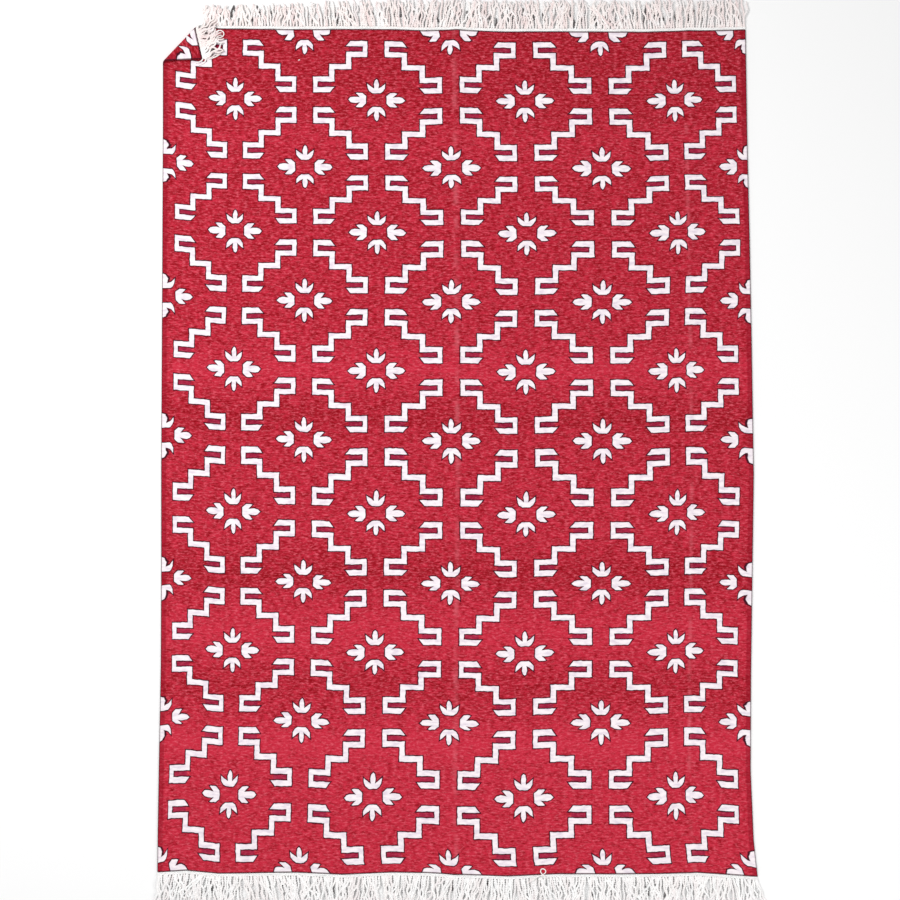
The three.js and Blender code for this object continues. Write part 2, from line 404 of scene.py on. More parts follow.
def strayed(across, along):
    """Where a point of the straight rug lies on the floor."""
    share_across = across / WIDTH + 0.5
    share_along = min(max(along / LENGTH + 0.5, 0), 1)
    left = between(SELVEDGES, "along", "left", along)
    right = between(SELVEDGES, "along", "right", along)
    near = between(ENDS, "across", "near", across)
    far = between(ENDS, "across", "far", across)
    return Vector((
        across + left + (right - left) * share_across,
        along + near + (far - near) * share_along,
    ))


# The fold's line
corner = strayed(-WIDTH / 2, LENGTH / 2)
fold_start = Vector((corner.x, corner.y - FOLD_DOWN_THE_SELVEDGE))
fold_end = Vector((corner.x + FOLD_ALONG_THE_END, corner.y))
fold_way = (fold_end - fold_start).normalized()
corner_way = Vector((-fold_way.y, fold_way.x))
BEND_OUTER = BEND_RADIUS + THICKNESS / 2
BEND_ARC = BEND_RADIUS * BEND_ANGLE


def past_bend(point):
    """How far a flat point is past the line where the cloth starts to bend."""
    return (point - fold_start).dot(corner_way) + BEND_OUTER


def crease_lift(across):
    """How high the creases lift the cloth."""
    total = 0
    for crease in CREASES:
        share = min(abs(across - crease["across"]) / crease["reach"], 1)
        total += crease["lift"] / 2 * (1 + math.cos(math.pi * share))
    return total


def rumple(point):
    """A lift of less than a millimetre, so that light does not fall quite evenly on the cloth."""
    wave = math.sin(point.x / 71 + 1.3 * math.sin(point.y / 160)) * math.sin(point.y / 93 + 0.7)
    finer = math.sin(point.x / 29 + point.y / 47) * math.sin(point.y / 35 - point.x / 88)
    fade = eased(-past_bend(point) / RUMPLE_FADE_AT_FOLD)
    return fade * (RUMPLE_MIDDLE + RUMPLE_COARSE * wave + RUMPLE_FINE * finer)


def folded(point, height):
    """Where a point of the flat cloth is once the corner is turned, at a height above the cloth's middle."""
    past = past_bend(point)
    if past <= 0:
        up = THICKNESS / 2 + crease_lift(point.x) + height
        return Vector((point.x, point.y, up))
    angle = min(past / BEND_RADIUS, BEND_ANGLE)
    beyond = past - BEND_RADIUS * angle
    radius = BEND_RADIUS - height
    out = radius * math.sin(angle) + beyond * math.cos(angle)
    up = THICKNESS / 2 + BEND_RADIUS - radius * math.cos(angle) + beyond * math.sin(angle)
    flat = point + corner_way * (out - past)
    return Vector((flat.x, flat.y, up))


# The camera
tilt = (
    Matrix.Rotation(math.radians(CAMERA_TURN_Z), 3, "Z")
    @ Matrix.Rotation(math.radians(CAMERA_TURN_Y), 3, "Y")
    @ Matrix.Rotation(math.radians(CAMERA_TURN_X), 3, "X")
)
turn = tilt.transposed()
spot = turn @ Vector((0, 0, CAMERA_DISTANCE)) + Vector((CAMERA_SHIFT_X, CAMERA_SHIFT_Y, 0))
camera_data = bpy.data.cameras.new("camera")
camera_data.lens = CAMERA_LENS
camera_data.sensor_width = SENSOR_WIDTH
camera = bpy.data.objects.new("camera", camera_data)
camera.matrix_world = Matrix.Translation(spot) @ turn.to_4x4()
bpy.context.collection.objects.link(camera)
bpy.context.scene.camera = camera


def seen_at(right, down, height):
    """The point at a height that the photograph shows at a pixel, in millimetres."""
    way = turn @ Vector((right - PHOTO_MIDDLE, PHOTO_MIDDLE - down, -PHOTO_FOCAL))
    share = (height * MM - spot.z) / way.z
    return (spot + way * share) / MM


# Light
scene = bpy.context.scene
scene.view_settings.view_transform = "Standard"
world = bpy.data.worlds.new("studio")
world.use_nodes = True
sky = world.node_tree.nodes["Background"]
sky.inputs["Color"].default_value = (1, 1, 1, 1)
sky.inputs["Strength"].default_value = WORLD_STRENGTH
scene.world = world

for row in LIGHTS:
    light_data = bpy.data.lights.new(row["name"], "AREA")
    light_data.shape = "SQUARE"
    light_data.size = row["size"]
    light_data.energy = row["power"]
    light = bpy.data.objects.new(row["name"], light_data)
    light.location = row["place"]
    light_way = Vector(row["aim"]) - Vector(row["place"])
    light.rotation_euler = light_way.to_track_quat("-Z", "Y").to_euler()
    bpy.context.collection.objects.link(light)


class Number:
    """A number in a material, worked out by Math nodes."""

    def __init__(self, tree, socket):
        self.tree = tree
        self.socket = socket

    def made(self, operation, *others):
        node = self.tree.nodes.new("ShaderNodeMath")
        node.operation = operation
        for place, value in enumerate((self, *others)):
            plug(self.tree, value, node.inputs[place])
        return Number(self.tree, node.outputs[0])

    def __add__(self, other):
        return self.made("ADD", other)

    def __sub__(self, other):
        return self.made("SUBTRACT", other)

    def __mul__(self, other):
        return self.made("MULTIPLY", other)

    def __truediv__(self, other):
        return self.made("DIVIDE", other)

    def __abs__(self):
        return self.made("ABSOLUTE")

    def least(self, other):
        return self.made("MINIMUM", other)

    def most(self, other):
        return self.made("MAXIMUM", other)

    def between(self, low, high):
        """0 below low, 1 above high, and a smooth rise from one to the other."""
        node = self.tree.nodes.new("ShaderNodeMapRange")
        node.interpolation_type = "SMOOTHSTEP"
        plug(self.tree, self, node.inputs["Value"])
        node.inputs["From Min"].default_value = low
        node.inputs["From Max"].default_value = high
        return Number(self.tree, node.outputs["Result"])


def plug(tree, value, socket):
    """Give a socket a value: a number worked out by nodes, another socket, or a plain value."""
    if isinstance(value, Number):
        tree.links.new(value.socket, socket)
    elif isinstance(value, bpy.types.NodeSocket):
        tree.links.new(value, socket)
    else:
        socket.default_value = value


def attribute(tree, name):
    node = tree.nodes.new("ShaderNodeAttribute")
    node.attribute_name = name
    return node


def columns_of(tree, vector):
    node = tree.nodes.new("ShaderNodeSeparateXYZ")
    tree.links.new(vector, node.inputs[0])
    return [Number(tree, out) for out in node.outputs]


def noise(tree, place, scale, detail=2, roughness=0.5):
    """Noise at a place given as three numbers."""
    joined = tree.nodes.new("ShaderNodeCombineXYZ")
    for socket, value in zip(joined.inputs, place):
        plug(tree, value, socket)
    node = tree.nodes.new("ShaderNodeTexNoise")
    tree.links.new(joined.outputs[0], node.inputs["Vector"])
    node.inputs["Scale"].default_value = scale
    node.inputs["Detail"].default_value = detail
    node.inputs["Roughness"].default_value = roughness
    return Number(tree, node.outputs["Fac"])


def linear(seen):
    """A colour seen on a screen, as the shader takes it."""
    def one(value):
        share = value / 255
        return share / 12.92 if share <= 0.04045 else ((share + 0.055) / 1.055) ** 2.4
    return (one(seen[0]), one(seen[1]), one(seen[2]), 1)


def mixed(tree, share, low, high):
    """A colour between two, by a share from 0 to 1."""
    node = tree.nodes.new("ShaderNodeMix")
    node.data_type = "RGBA"
    plug(tree, share, node.inputs["Factor"])
    plug(tree, low, node.inputs["A"])
    plug(tree, high, node.inputs["B"])
    return node.outputs["Result"]


def convex(u, v, points):
    """How far outside a convex shape a place is.

    The points run anticlockwise, and no side joins the last to the first.
    """
    worst = None
    for (u0, v0), (u1, v1) in zip(points, points[1:]):
        length = math.hypot(u1 - u0, v1 - v0)
        du, dv = (v1 - v0) / length, (u0 - u1) / length
        side = u * du + v * dv - (u0 * du + v0 * dv)
        worst = side if worst is None else worst.most(side)
    return worst


def oblong(x, y, left, right, low, high):
    """How far outside a rectangle a place is."""
    wide = abs(x - (left + right) / 2) - (right - left) / 2
    tall = abs(y - (low + high) / 2) - (high - low) / 2
    return wide.most(tall)


def pattern(p, q):
    """How far outside the white figures a place of the lattice is, and how deep it is in a hook's slot."""
    column = (p / CELL_ACROSS).made("FLOOR")
    row = (q / CELL_ALONG).made("FLOOR")
    turned = (column + row).made("FLOORED_MODULO", 2)
    x = (p - (column + 0.5) * CELL_ACROSS) * (turned * 2 - 1)
    y = (row + 0.5) * CELL_ALONG - q

    # The flowers at two corners of the cell, each a bud every way
    nearer = (x * CELL_ALONG + y * CELL_ACROSS).made("SIGN")
    sideways = x * nearer * -1 + CELL_ACROSS / 2
    upright = y * nearer * -1 + CELL_ALONG / 2
    out = upright - UPRIGHT_FOOT
    white = convex(sideways, out, UPRIGHT_LOBE).least(convex(sideways, out, UPRIGHT_PRONG))
    out = sideways - SIDEWAYS_FOOT
    white = white.least(convex(upright, out, SIDEWAYS_LOBE)).least(convex(upright, out, SIDEWAYS_PRONG))

    # The stair: two hooks, turned half round from each other, joined by a step
    half = y.made("SIGN")
    x = x * half
    y = abs(y)
    upright_bar = oblong(x, y, -HOOK_SIDE, -HOOK_INSIDE, TREAD_LOW, HOOK_TOP)
    low_left = (-HOOK_SIDE, SLOT_TOP)
    low_right = (-BAR_TIP_LOW, SLOT_TOP)
    top_right = (-BAR_TIP_TOP, HOOK_TOP)
    top_left = (-HOOK_SIDE, HOOK_TOP)
    bar = convex(x, y, [low_left, low_right, top_right, top_left, low_left])
    tread = oblong(x, y, -HOOK_SIDE, -TREAD_END, TREAD_LOW, TREAD_TOP)
    riser = oblong(x, y, -STEP_SIDE, -TREAD_END, -STEP_HALF, TREAD_TOP)
    middle = oblong(x, y, -STEP_SIDE, STEP_SIDE, -STEP_HALF, STEP_HALF)
    white = white.least(upright_bar).least(bar).least(tread).least(riser).least(middle)
    slot = oblong(x, y, -HOOK_INSIDE, -SLOT_END, TREAD_TOP, SLOT_TOP)
    return white + FIGURES_THINNED, slot


def cotton(name):
    """A dull cotton material, its node tree and its shader."""
    material = bpy.data.materials.new(name)
    material.use_nodes = True
    shader = material.node_tree.nodes["Principled BSDF"]
    shader.inputs["Roughness"].default_value = 0.92
    shader.inputs["Specular IOR Level"].default_value = 0.12
    shader.inputs["Sheen Weight"].default_value = 0.02
    shader.inputs["Sheen Roughness"].default_value = 0.6
    return material, material.node_tree, shader


def bumped(tree, shader, height, strength, depth):
    bump = tree.nodes.new("ShaderNodeBump")
    bump.inputs["Strength"].default_value = strength
    bump.inputs["Distance"].default_value = depth
    plug(tree, height, bump.inputs["Height"])
    tree.links.new(bump.outputs[0], shader.inputs["Normal"])


def woven_cotton():
    material, tree, shader = cotton("woven_cotton")
    u, v, _ = columns_of(tree, attribute(tree, "flat").outputs["Vector"])
    p, q, _ = columns_of(tree, attribute(tree, "lattice").outputs["Vector"])
    dye_lots_and_shade = Number(tree, attribute(tree, "dye_lots_and_shade").outputs["Fac"])
    wobble = noise(tree, (u, v, 0), 0.09) - 0.5
    stray = noise(tree, (u, v, 40), 0.09) - 0.5
    white, slot = pattern(p + wobble * WOVEN_WOBBLE, q + stray * WOVEN_WOBBLE)

    streaks = noise(tree, (u * 0.1, v * 0.36, 0), 1, detail=3, roughness=0.65)
    mottle = noise(tree, (u * 0.05, v * 0.09, 7), 1, detail=3, roughness=0.6)
    # The dye lots carry painted shade as well, darker towards the far end
    tone = streaks * 1.3 + mottle + dye_lots_and_shade * 1.5 - 0.15
    red = mixed(tree, tone.between(0.74, 1.36), linear(DYE_DARK), linear(DYE_LIGHT))
    flecks = noise(tree, (u * 0.11, v * 0.27, 11), 1, detail=4, roughness=0.7)
    red = mixed(tree, flecks.between(0.46, 0.72) * 0.85, red, linear(PALE_FLECK))
    # A painted highlight along each crease's crest, pinker and in patches
    middle, side = CREASES
    fold_line = abs(u - middle["across"]).between(middle["painted_highlight"], 0)
    fold_line = fold_line.most(abs(u - side["across"]).between(side["painted_highlight"], 0) * 0.8)
    patchy = noise(tree, (u * 0.01, v * 0.02, 5), 1).between(0.4, 0.62)
    red = mixed(tree, fold_line * patchy * 0.3, red, linear(CREASE_HIGHLIGHT))
    edge = abs(u) - (WIDTH / 2 - SELVEDGE_WIDE)
    red = mixed(tree, edge.between(-2, 1) * 0.55, red, linear(SELVEDGE_RED))
    red = mixed(tree, slot.between(1.2, -1.2) * 0.5, red, linear(SLOT_RED))
    grey = noise(tree, (u * 0.06, v * 0.16, 3), 1, detail=3)
    pale = mixed(tree, grey.between(0.35, 0.75), linear(UNDYED_LIGHT), linear(UNDYED_GREY))
    dark = linear(OUTLINE)
    body = mixed(tree, white.between(1.2, 2.7), dark, red)
    colour = mixed(tree, white.between(0.2, -0.6), body, pale)
    # A thin dark line along every edge of the cloth, in the outline's colour: painted shade where the
    # rounded edge turns down and where the ends meet the heading
    rim_across = abs(u) - (WIDTH / 2 - RIM_ACROSS)
    rim_along = abs(v) - (LENGTH / 2 - RIM_ALONG)
    colour = mixed(tree, rim_across.most(rim_along).between(-0.7, 0.3) * 0.8, colour, dark)
    tree.links.new(colour, shader.inputs["Base Color"])

    # Weft beads over hidden warps
    rib = (u * (math.pi / WARP_PITCH)).made("SINE")
    flip = (u / WARP_PITCH).made("FLOOR").made("FLOORED_MODULO", 2)
    pick = (v * (math.pi / PICK_PITCH) + flip * (math.pi / 2)).made("SINE")
    height = abs(rib) * 0.7 + abs(pick) * 0.4 + streaks * 0.5
    bumped(tree, shader, height, 0.35, 0.0005)
    return material


def fringe_cotton():
    material, tree, shader = cotton("fringe_cotton")
    tone = Number(tree, attribute(tree, "tone").outputs["Fac"])
    blush = Number(tree, attribute(tree, "blush").outputs["Fac"])
    place = tree.nodes.new("ShaderNodeNewGeometry").outputs["Position"]
    x, y, z = columns_of(tree, place)
    patches = noise(tree, (x * 40, y * 40, z * 40), 1, detail=3)
    fibres = noise(tree, (x * 900, y * 900, z * 900), 1, detail=2)
    deep = Number(tree, attribute(tree, "deep").outputs["Fac"])
    cool = mixed(tree, tone, linear(YARN_WHITE), linear(YARN_GREY))
    warm = mixed(tree, tone, linear(YARN_CREAM), linear(YARN_PINK))
    clean = mixed(tree, blush * patches.between(0.2, 0.55), cool, warm)
    # Painted shade darkens the strands where they lie low, as far as their deep number says
    colour = mixed(tree, deep, clean, linear(PAINTED_SHADE))
    tree.links.new(colour, shader.inputs["Base Color"])
    shader.inputs["Sheen Weight"].default_value = 0.8
    bumped(tree, shader, fibres, 0.2, 0.0003)
    return material


FINISHES = {"woven_cotton": woven_cotton(), "fringe_cotton": fringe_cotton()}


def piece(name, points, faces, slot, numbers):
    """An object from points in millimetres, with a number or vector for each point under each name."""
    mesh = bpy.data.meshes.new(name)
    mesh.from_pydata([point * MM for point in points], [], faces)
    for label, values in numbers.items():
        vector = isinstance(values[0], tuple)
        kind = "FLOAT_VECTOR" if vector else "FLOAT"
        layer = mesh.attributes.new(label, kind, "POINT")
        flat = [number for value in values for number in value] if vector else values
        layer.data.foreach_set("vector" if vector else "value", flat)
    mesh.materials.append(FINISHES[slot])
    mesh.shade_smooth()
    thing = bpy.data.objects.new(name, mesh)
    bpy.context.collection.objects.link(thing)
    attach(thing, "root")
    return thing


# The woven cloth
def lattice_knots(cells, across, last):
    """Places on the cloth and what the lattice reads there, from the first flowers' row to the last."""
    way = 1 if across else -1
    pitch, inside = (CELL_ACROSS, STAIR_IN_ACROSS) if across else (CELL_ALONG, STAIR_IN_ALONG)
    knots = []
    for number, cell in enumerate(cells):
        half = cell["size"] / 2 * way
        knots.append({"at": cell["flower"], "reads": number * pitch})
        knots.append({"at": cell["stair"] - half, "reads": number * pitch + inside})
        knots.append({"at": cell["stair"] + half, "reads": (number + 1) * pitch - inside})
    knots.append({"at": last, "reads": len(cells) * pitch})
    return sorted(knots, key=lambda knot: knot["at"])


# Across the cloth the lattice reads from left to right, and along it from the far end to the near one
whole = len(ACROSS_CELLS) * CELL_ACROSS
knots_across = lattice_knots(ACROSS_CELLS, True, WIDTH / 2 + KNOTS_PAST_EDGE)
knots_across[0]["reads"] = -SIDE_KNOTS["past_middle"]
knots_across.insert(1, {"at": SIDE_KNOTS["left"], "reads": SIDE_KNOTS["reads"]})
knots_across[-1]["reads"] = whole + SIDE_KNOTS["past_middle"]
knots_across.insert(-1, {"at": SIDE_KNOTS["right"], "reads": whole - SIDE_KNOTS["reads"]})
whole = len(ALONG_CELLS) * CELL_ALONG
knots_along = lattice_knots(ALONG_CELLS, False, -LENGTH / 2 - KNOTS_PAST_EDGE)
knots_along[0]["reads"] = whole + END_KNOTS["past_middle"]
knots_along.insert(1, {"at": END_KNOTS["near"], "reads": whole - END_KNOTS["reads"]})
knots_along[-1] = {"at": LENGTH / 2 + KNOTS_PAST_EDGE, "reads": -END_KNOTS["past_middle"]}
knots_along.insert(-1, {"at": END_KNOTS["far"], "reads": END_KNOTS["reads"]})


def divided(marks, step_at):
    """Every mark in order, with places between them no further apart than the step there."""
    places = []
    marks = sorted({round(mark, 2) for mark in marks})
    for low, high in zip(marks, marks[1:]):
        count = max(1, math.ceil((high - low) / step_at((low + high) / 2)))
        places += [low + (high - low) * i / count for i in range(count)]
    return places + [marks[-1]]


def marks_over(knots, half, extra):
    """Where the mesh has to have a line: at the knots, by both edges, and at places of its own."""
    inner = [knot["at"] for knot in knots if abs(knot["at"]) < half]
    sides = [side * (half - step) for side in (-1, 1) for step in EDGE_STEPS]
    return inner + sides + extra


crease_marks = [crease["across"] + side * crease["reach"] for crease in CREASES for side in (-1, 0, 1)]


def step_across(at):
    """How far apart the mesh's lines may be there."""
    if at < -WIDTH / 2 + FINE_FROM:
        return FINE_STEP
    for crease in CREASES:
        if abs(at - crease["across"]) < crease["reach"]:
            return CREASE_STEP
    return COARSE_STEP


def step_along(at):
    return FINE_STEP if at > LENGTH / 2 - FINE_FROM else COARSE_STEP


def drift(u, v):
    """How far the lattice has drifted at a place, to the right and towards the far end."""
    left = between(DRIFT_ACROSS, "along", "left", v)
    right = between(DRIFT_ACROSS, "along", "right", v)
    middle = (left * 2 + right) / 3
    share = u / (WIDTH / 2)
    side = right if share > 0 else left
    near = between(DRIFT_ALONG, "across", "near", u)
    far = between(DRIFT_ALONG, "across", "far", u)
    inside = min(1, (WIDTH / 2 - abs(u)) / DRIFT_FADE, (LENGTH / 2 - abs(v)) / DRIFT_FADE)
    to_right = middle + (side - middle) * abs(share)
    to_far = near + (far - near) * (v / LENGTH + 0.5)
    return to_right * inside, to_far * inside


def cloth():
    across = divided(marks_over(knots_across, WIDTH / 2, crease_marks), step_across)
    along = divided(marks_over(knots_along, LENGTH / 2, [LENGTH / 2 - FINE_FROM]), step_along)
    tone_at = [between(DYE_LOTS_AND_SHADE, "along", "tone", at) for at in along]
    points, flat, lattice, dye_lots_and_shade = [], [], [], []
    for upper in (False, True):
        for v, tone in zip(along, tone_at):
            for u in across:
                inside = min(WIDTH / 2 - abs(u), LENGTH / 2 - abs(v))
                share = min(inside / EDGE_ROUND, 1)
                roundness = math.sqrt(max(0, 1 - (1 - share) ** 2))
                half = THICKNESS / 2 * (EDGE_LEAST + (1 - EDGE_LEAST) * roundness)
                place = strayed(u, v)
                lift = rumple(place) * eased(inside / RUMPLE_FADE_AT_EDGE)
                point = folded(place, half if upper else -half)
                point.z += lift
                points.append(point)
                flat.append((u, v, 0.0))
                to_right, to_far = drift(u, v)
                p = between(knots_across, "at", "reads", u - to_right)
                q = between(knots_along, "at", "reads", v - to_far)
                lattice.append((p, q, 0.0))
                dye_lots_and_shade.append(tone)
    wide, tall = len(across), len(along)
    sheet = wide * tall
    faces = []
    for j in range(tall - 1):
        for i in range(wide - 1):
            a = j * wide + i
            faces.append((a + wide, a + wide + 1, a + 1, a))
            faces.append((sheet + a, sheet + a + 1, sheet + a + wide + 1, sheet + a + wide))
    ring = list(range(wide))
    ring += [j * wide + wide - 1 for j in range(1, tall)]
    ring += [(tall - 1) * wide + i for i in range(wide - 2, -1, -1)]
    ring += [j * wide for j in range(tall - 2, 0, -1)]
    for a, b in zip(ring, ring[1:] + ring[:1]):
        faces.append((a, b, b + sheet, a + sheet))
    numbers = {"flat": flat, "lattice": lattice, "dye_lots_and_shade": dye_lots_and_shade}
    return piece("rug_cloth", points, faces, "woven_cotton", numbers)


# Yarn
class Yarns:
    """Points and faces of many yarns that end up in one mesh.

    Points lower than a set height are given painted shade, as dark as a set strength says.
    """

    def __init__(self):
        self.points = []
        self.faces = []
        self.painted_shade_below = 0
        self.painted_shade_strength = 1
        self.tone = []
        self.blush = []
        self.deep = []

    def tube(self, path, radii, sides, tone, blush):
        start = len(self.points)
        for i, point in enumerate(path):
            way = (path[min(i + 1, len(path) - 1)] - path[max(i - 1, 0)]).normalized()
            side = way.cross(Vector((0, 0, 1)))
            side = side.normalized() if side.length > 0.05 else Vector((1, 0, 0))
            up = side.cross(way)
            for k in range(sides):
                angle = 2 * math.pi * k / sides
                self.points.append(point + (side * math.cos(angle) + up * math.sin(angle)) * radii[i])
        for i in range(len(path) - 1):
            for k in range(sides):
                a = start + i * sides + k
                b = start + i * sides + (k + 1) % sides
                self.faces.append((a, b, b + sides, a + sides))
        last = start + (len(path) - 1) * sides
        self.faces.append(tuple(start + k for k in reversed(range(sides))))
        self.faces.append(tuple(last + k for k in range(sides)))
        count = len(path) * sides
        self.tone += [tone] * count
        self.blush += [blush] * count
        for point in self.points[start:]:
            # Painted shade, the darker the further a point lies below the set height
            self.deep.append(self.painted_shade_strength * eased((self.painted_shade_below - point.z) / PAINTED_SHADE_DEPTH))

    def twisted(self, path, radii, plies, sides, turn_every, start_angle, tone, blush):
        """Plies laid round each other along a path."""
        for ply in range(plies):
            gone = 0
            line = []
            sizes = []
            for i, point in enumerate(path):
                way = (path[min(i + 1, len(path) - 1)] - path[max(i - 1, 0)]).normalized()
                side = way.cross(Vector((0, 0, 1)))
                side = side.normalized() if side.length > 0.05 else Vector((1, 0, 0))
                up = side.cross(way)
                if i:
                    gone += (point - path[i - 1]).length
                angle = start_angle + 2 * math.pi * (ply / plies + gone / turn_every)
                swing = radii[i] * PLY_SWING
                sideways = side * swing * math.cos(angle)
                upwards = up * swing * PLY_FLATNESS * math.sin(angle)
                line.append(point + sideways + upwards)
                sizes.append(radii[i] * PLY_RADIUS)
            self.tube(line, sizes, sides, tone, blush)

    def made(self, name):
        numbers = {"tone": self.tone, "blush": self.blush, "deep": self.deep}
        return piece(name, self.points, self.faces, "fringe_cotton", numbers)


def stray_yarn(yarns, name, luck, radius):
    """A yarn along the photograph's own points, smoothed."""
    marks = [seen_at(row["right"], row["down"], row["height"]) for row in STRAY_YARNS[name]]
    marks = [marks[0] * 2 - marks[1]] + marks + [marks[-1] * 2 - marks[-2]]
    path = []
    for a, b, c, d in zip(marks, marks[1:], marks[2:], marks[3:]):
        for i in range(STRAY_STEPS):
            t = i / STRAY_STEPS
            path.append(
                b + (c - a) * (0.5 * t) + (a * 2 - b * 5 + c * 4 - d) * (0.5 * t * t)
                + (b * 3 - a - c * 3 + d) * (0.5 * t * t * t)
            )
    path.append(marks[-2])
    radii = [radius * (1 - 0.3 * abs(i / len(path) * 2 - 1) ** 6) for i in range(len(path))]
    # A stray yarn gets no painted shade
    yarns.painted_shade_below = 0
    yarns.twisted(path, radii, 2, 6, 6, luck.uniform(0, 6), 0.1, 0.6)


def past_end(across, end, beyond):
    """A point past an end of the rug, where end is 1 at the far end and -1 at the near one."""
    edge = strayed(across, end * LENGTH / 2)
    edge.y += end * beyond
    return edge


def lean_at(across, end):
    """How far from straight the strands lie there, as an angle to the right."""
    wave = 0.1 * math.sin(across / 97 + end) + 0.07 * math.sin(across / 43 + 2 * end)
    for row in SWEPT:
        if row["end"] == end:
            share = min(abs(across - row["across"]) / row["reach"], 1)
            wave += row["sweep"] / 2 * (1 + math.cos(math.pi * share))
    return wave


def full_length(across, end):
    """A strand's length, which grows away from the turned corner at the far end."""
    if end < 0:
        return STRAND_LENGTH
    start = -WIDTH / 2 + FOLD_ALONG_THE_END
    share = (across - start) / (-WIDTH / 2 + USUAL_LENGTH_FROM - start)
    return LENGTH_AT_FOLD + (STRAND_LENGTH - LENGTH_AT_FOLD) * min(max(share, 0), 1)


def heading_past_bend(across):
    """How far the far end's heading is past the line where the cloth starts to bend."""
    return past_bend(past_end(across, 1, HEADING_DEPTH))


def heading(yarns, end, places, blush):
    """Two twined cords that close the cloth's end."""
    for cord in HEADING_CORDS:
        path = []
        for across in places:
            flat = past_end(across, end, PART_GAP + cord["beyond"])
            path.append(folded(flat, 0.5))
        radii = [cord["radius"]] * len(path)
        yarns.twisted(path, radii, 2, PLY_SIDES, HEADING_TWIST, cord["start"], 0, blush)


def strand(yarns, luck, across, end, layer):
    """A yarn that lies on the floor past an end, in one of two layers."""
    root = past_end(across, end, ROOT_BEYOND)
    length = full_length(across, end) + luck.uniform(-6, 5)
    lean = lean_at(across, end) + luck.gauss(0, 0.1 if layer == 0 else 0.27)
    lean -= 0.09 * math.sin(across / 5.3 + 2.1 * math.sin(across / 23) + 3 * end)
    sway = luck.uniform(0.12, 0.62) * luck.choice((-1, 1))
    phase = luck.uniform(0, 2 * math.pi)
    wave = luck.uniform(17, 36)
    steps = STRAND_STEPS
    radius = STRAND_RADIUS * luck.uniform(0.88, 1.06) * FRINGES[end]["thicker"]
    rest = radius * 0.98 + 1.2 + layer * LAYER_RISE
    path = []
    place = root.copy()
    for i in range(steps + 1):
        gone = length * i / steps
        share = i / steps
        settled = eased(share * (3 if layer else 6))
        rise = rest + (ROOT_HEIGHTS[layer] - rest) * (1 - settled)
        if layer:
            rise -= 0.9 * eased(share * 1.6 - 0.6)
        path.append(Vector((place.x, place.y, rise)))
        way = lean + sway * math.sin(2 * math.pi * gone / wave + phase) * eased(share * 3)
        place += Vector((math.sin(way), end * math.cos(way))) * (length / steps)
    radii = [radius * (1 - 0.35 * eased((i / steps - 0.75) * 4)) for i in range(steps + 1)]
    tone = luck.random()
    blush = luck.uniform(*FRINGES[end]["blush"])
    yarns.twisted(path, radii, PLIES, PLY_SIDES, luck.uniform(8, 11), luck.uniform(0, 6), tone, blush)


def shade_strand(yarns, root, angle, length, low):
    """A short dark yarn low among the others: painted shade, which shows as dark gaps between them."""
    radii = [1.5, 1.6, 1.7, 1.7, 1.7, 1.6, 1.4, 1]
    path = []
    place = Vector((root.x, root.y, low))
    for i in range(len(radii)):
        path.append(place.copy())
        way = angle + 0.3 * math.sin(i + length)
        place += Vector((math.cos(way), math.sin(way), 0)) * (length / (len(radii) - 1))
    yarns.tube(path, radii, PLY_SIDES, 0.5, 0.5)


def fringe(end):
    """The yarns of an end's fringe, without those that are turned over with the corner."""
    own = FRINGES[end]
    luck = random.Random(own["seed"])
    yarns = Yarns()
    count = round((WIDTH - 6) / STRAND_PITCH)
    places = [-WIDTH / 2 + 3 + (WIDTH - 6) * i / (count - 1) for i in range(count)]
    line = [-WIDTH / 2 + 0.5 + (WIDTH - 1) * i / HEADING_STEPS for i in range(HEADING_STEPS + 1)]
    if end > 0:
        places = [at for at in places if heading_past_bend(at) < 1.5]
        line = [at for at in line if heading_past_bend(at) < (BEND_ARC - 1) / 2]
    heading(yarns, end, line, own["heading_blush"])
    # Short dark yarns low under the strands: painted shade that shows in the gaps between them
    yarns.painted_shade_below = WHOLLY_SHADED_BELOW
    yarns.painted_shade_strength = 1
    for at in places[::own["shade_strand_every"]]:
        if abs(at) > WIDTH / 2 - FOLD_ALONG_THE_END - 20:
            continue
        root = past_end(at + luck.uniform(-3, 3), end, ROOT_BEYOND + luck.uniform(2, 22))
        way = end * (math.pi / 2 - lean_at(at, end)) + luck.gauss(0, 0.2)
        shade_strand(yarns, root, way, luck.uniform(14, 26), 1.7)
    # Painted shade on the low parts of the strands, as dark as this end's strength says
    yarns.painted_shade_below = 3.4
    yarns.painted_shade_strength = own["painted_shade_strength"]
    for at in places:
        strand(yarns, luck, at + luck.uniform(-0.8, 0.8), end, 0)
    for at in places:
        if luck.random() < own["upper_share"]:
            strand(yarns, luck, at + luck.uniform(-2.5, 2.5), end, 1)
    if end > 0:
        for _ in range(EXTRA_AT_FOLD):
            strand(yarns, luck, places[0] + luck.uniform(0, 30), end, 1)
    else:
        stray_yarn(yarns, "loose_loop", luck, LOOSE_LOOP_RADIUS)
    return yarns


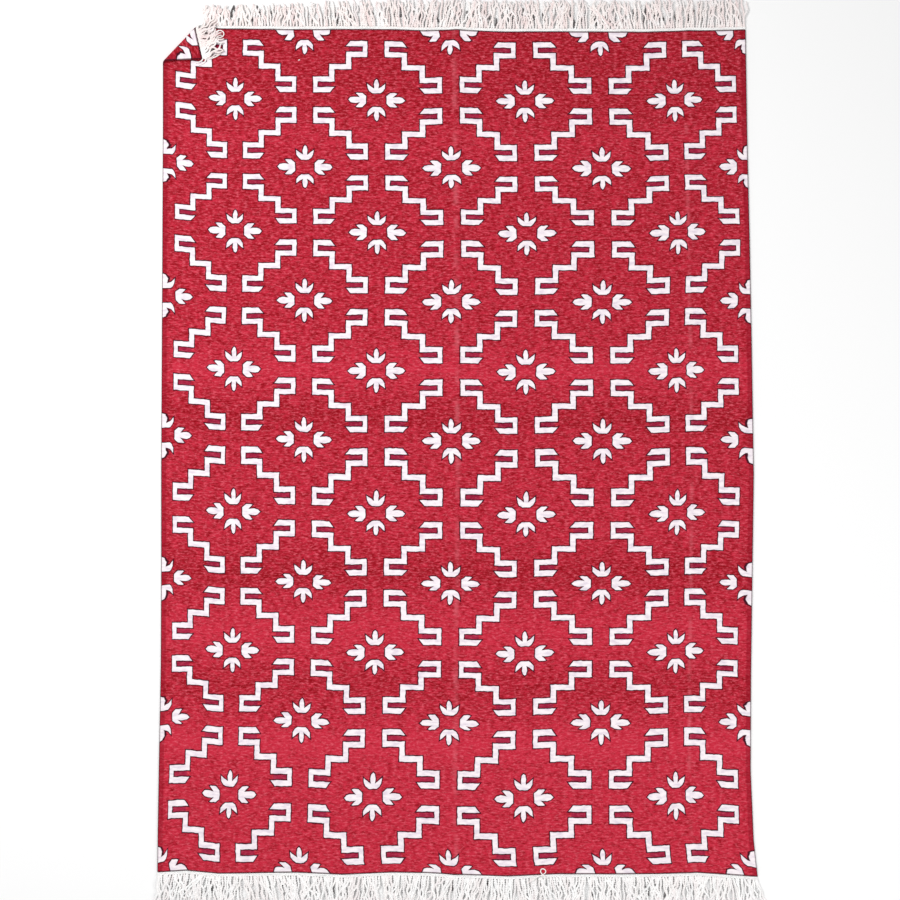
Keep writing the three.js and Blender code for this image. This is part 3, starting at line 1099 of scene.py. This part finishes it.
def corner_fringe():
    """The yarns that are turned over with the corner and lie in a bunch on the cloth."""
    luck = random.Random(CORNER_SEED)
    yarns = Yarns()
    line = [-WIDTH / 2 + 0.5 + 2 * i for i in range(75)]
    line = [at for at in line if heading_past_bend(at) > (BEND_ARC + 1) / 2]
    heading(yarns, 1, line, 0.8)
    first, reach = line[0], line[-1] - line[0]
    # Short dark yarns low in the bunch: painted shade that shows in the gaps between its strands
    yarns.painted_shade_below = WHOLLY_SHADED_BELOW
    for _ in range(CORNER_SHADE_STRANDS):
        at = first + reach * luck.uniform(0.1, 0.92)
        root = folded(past_end(at, 1, ROOT_BEYOND + luck.uniform(3, 18)), 0)
        shade_strand(yarns, root, luck.uniform(0.2, 1.1), luck.uniform(5, 12), luck.uniform(6, 9.2))
    row = CORNER_STRANDS // 2
    for number in range(CORNER_STRANDS):
        share = (number % row) / (row - 1)
        upper = number >= row
        at = first + reach * min(max(share + luck.uniform(-0.03, 0.03), 0), 0.97)
        root = folded(past_end(at, 1, ROOT_BEYOND), 0)
        if heading_past_bend(at) < BEND_ARC:
            continue
        angle = 0.62 - 0.6 * share + luck.gauss(0, 0.33)
        bend = luck.uniform(-0.6, 1.2) if upper else luck.uniform(-0.6, 0.8)
        length = luck.uniform(38, 50)
        wave = luck.uniform(16, 26)
        phase = luck.uniform(0, 2 * math.pi)
        steps = CORNER_STEPS
        path = []
        place = root.copy()
        rest = THICKNESS + 2.3 + (2.6 if upper else 0) + (number % 3) * 0.7
        for i in range(steps + 1):
            gone = i / steps
            place.z = root.z + (rest - root.z) * eased(gone * 2.6)
            path.append(place.copy())
            curl = 0.45 * math.sin(2 * math.pi * length * gone / wave + phase) * eased(gone * 4)
            way = angle + bend * gone + curl
            place += Vector((math.cos(way), math.sin(way), 0)) * (length / steps)
        radii = [CORNER_RADIUS * (1 - 0.35 * eased((i / steps - 0.75) * 4)) for i in range(steps + 1)]
        # Painted shade on the low parts of the bunch's strands
        yarns.painted_shade_below = THICKNESS + 4.3
        start = luck.uniform(0, 6)
        tone = luck.random()
        blush = luck.uniform(0.6, 1)
        yarns.twisted(path, radii, PLIES, PLY_SIDES, 9, start, tone, blush)
    for stray in STRAYS_AT_CORNER:
        stray_yarn(yarns, stray["name"], luck, stray["radius"])
    return yarns


rug_cloth = cloth()
fringe_near = fringe(-1).made("fringe_near_yarn")
fringe_far = fringe(1).made("fringe_far_yarn")
fringe_corner = corner_fringe().made("fringe_corner_yarn")
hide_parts("rug")
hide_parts("fringe_near")
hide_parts("fringe_far")
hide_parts("fringe_corner")

# The floor
floor_mesh = bpy.data.meshes.new("floor")
floor_corners = [
    (side_x * FLOOR_REACH, side_y * FLOOR_REACH, FLOOR_HEIGHT)
    for side_x, side_y in ((-1, -1), (1, -1), (1, 1), (-1, 1))
]
floor_mesh.from_pydata(floor_corners, [], [(0, 1, 2, 3)])
floor = bpy.data.objects.new("floor", floor_mesh)
bpy.context.collection.objects.link(floor)
floor_material = bpy.data.materials.new("pale_floor")
floor_material.use_nodes = True
floor_shader = floor_material.node_tree.nodes["Principled BSDF"]
floor_shader.inputs["Base Color"].default_value = (FLOOR_TONE, FLOOR_TONE, FLOOR_TONE, 1)
floor_shader.inputs["Roughness"].default_value = 0.9
floor_mesh.materials.append(floor_material)
